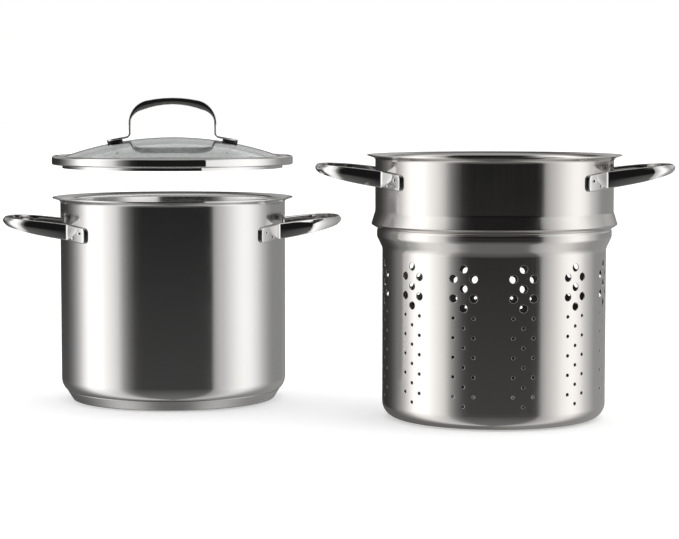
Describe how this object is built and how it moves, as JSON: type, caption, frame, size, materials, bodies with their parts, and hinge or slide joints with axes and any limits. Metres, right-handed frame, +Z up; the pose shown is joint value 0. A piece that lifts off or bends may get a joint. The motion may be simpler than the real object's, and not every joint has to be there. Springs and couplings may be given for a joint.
{
  "type": "pasta pot with strainer insert",
  "caption": "Tall steel pasta pot with an encapsulated base, loop handles and a glass lid, and the perforated strainer insert that hangs in its mouth.",
  "frame": {"origin": "middle of the pot's underside, on the table", "axes": "+Z up along the pot's axis, +X through the pot's right handle, the picture looks along +Y"},
  "size_m": [0.6318, 0.3893, 0.2975],
  "materials": {
    "drawn_steel": "polished",
    "bright_steel": "mirror polished",
    "satin_steel": "satin",
    "aluminium_core": "as pressed",
    "clear_glass": "tempered, clear",
    "black_rubber": "moulded",
    "plated_steel": "bright plated"
  },
  "bodies": {
    "pot": {"pot_body": "drawn_steel", "pot_base_core": "aluminium_core", "pot_base_cap": "satin_steel", "pot_handle_left": "bright_steel", "pot_handle_right": "bright_steel"},
    "insert": {"insert_body": "drawn_steel", "insert_handle_left": "bright_steel", "insert_handle_right": "bright_steel"},
    "lid": {"lid_glass": "clear_glass", "lid_rim": "bright_steel", "lid_handle": "bright_steel", "lid_handle_pad_left": "black_rubber", "lid_handle_pad_right": "black_rubber", "lid_stud_left": "plated_steel", "lid_stud_right": "plated_steel", "lid_gasket_left": "black_rubber", "lid_gasket_right": "black_rubber", "lid_washer_left": "plated_steel", "lid_washer_right": "plated_steel", "lid_cap_nut_left": "plated_steel", "lid_cap_nut_right": "plated_steel"}
  },
  "joints": [
    {"name": "lid_lift", "type": "slide", "parent": "pot", "child": "lid", "axis": [0, 0, 1], "range_m": [-0.0319, 0.12]},
    {"name": "insert_lift", "type": "slide", "parent": "pot", "child": "insert", "axis": [0, 0, 1], "range_m": [0, 0.26]}
  ]
}
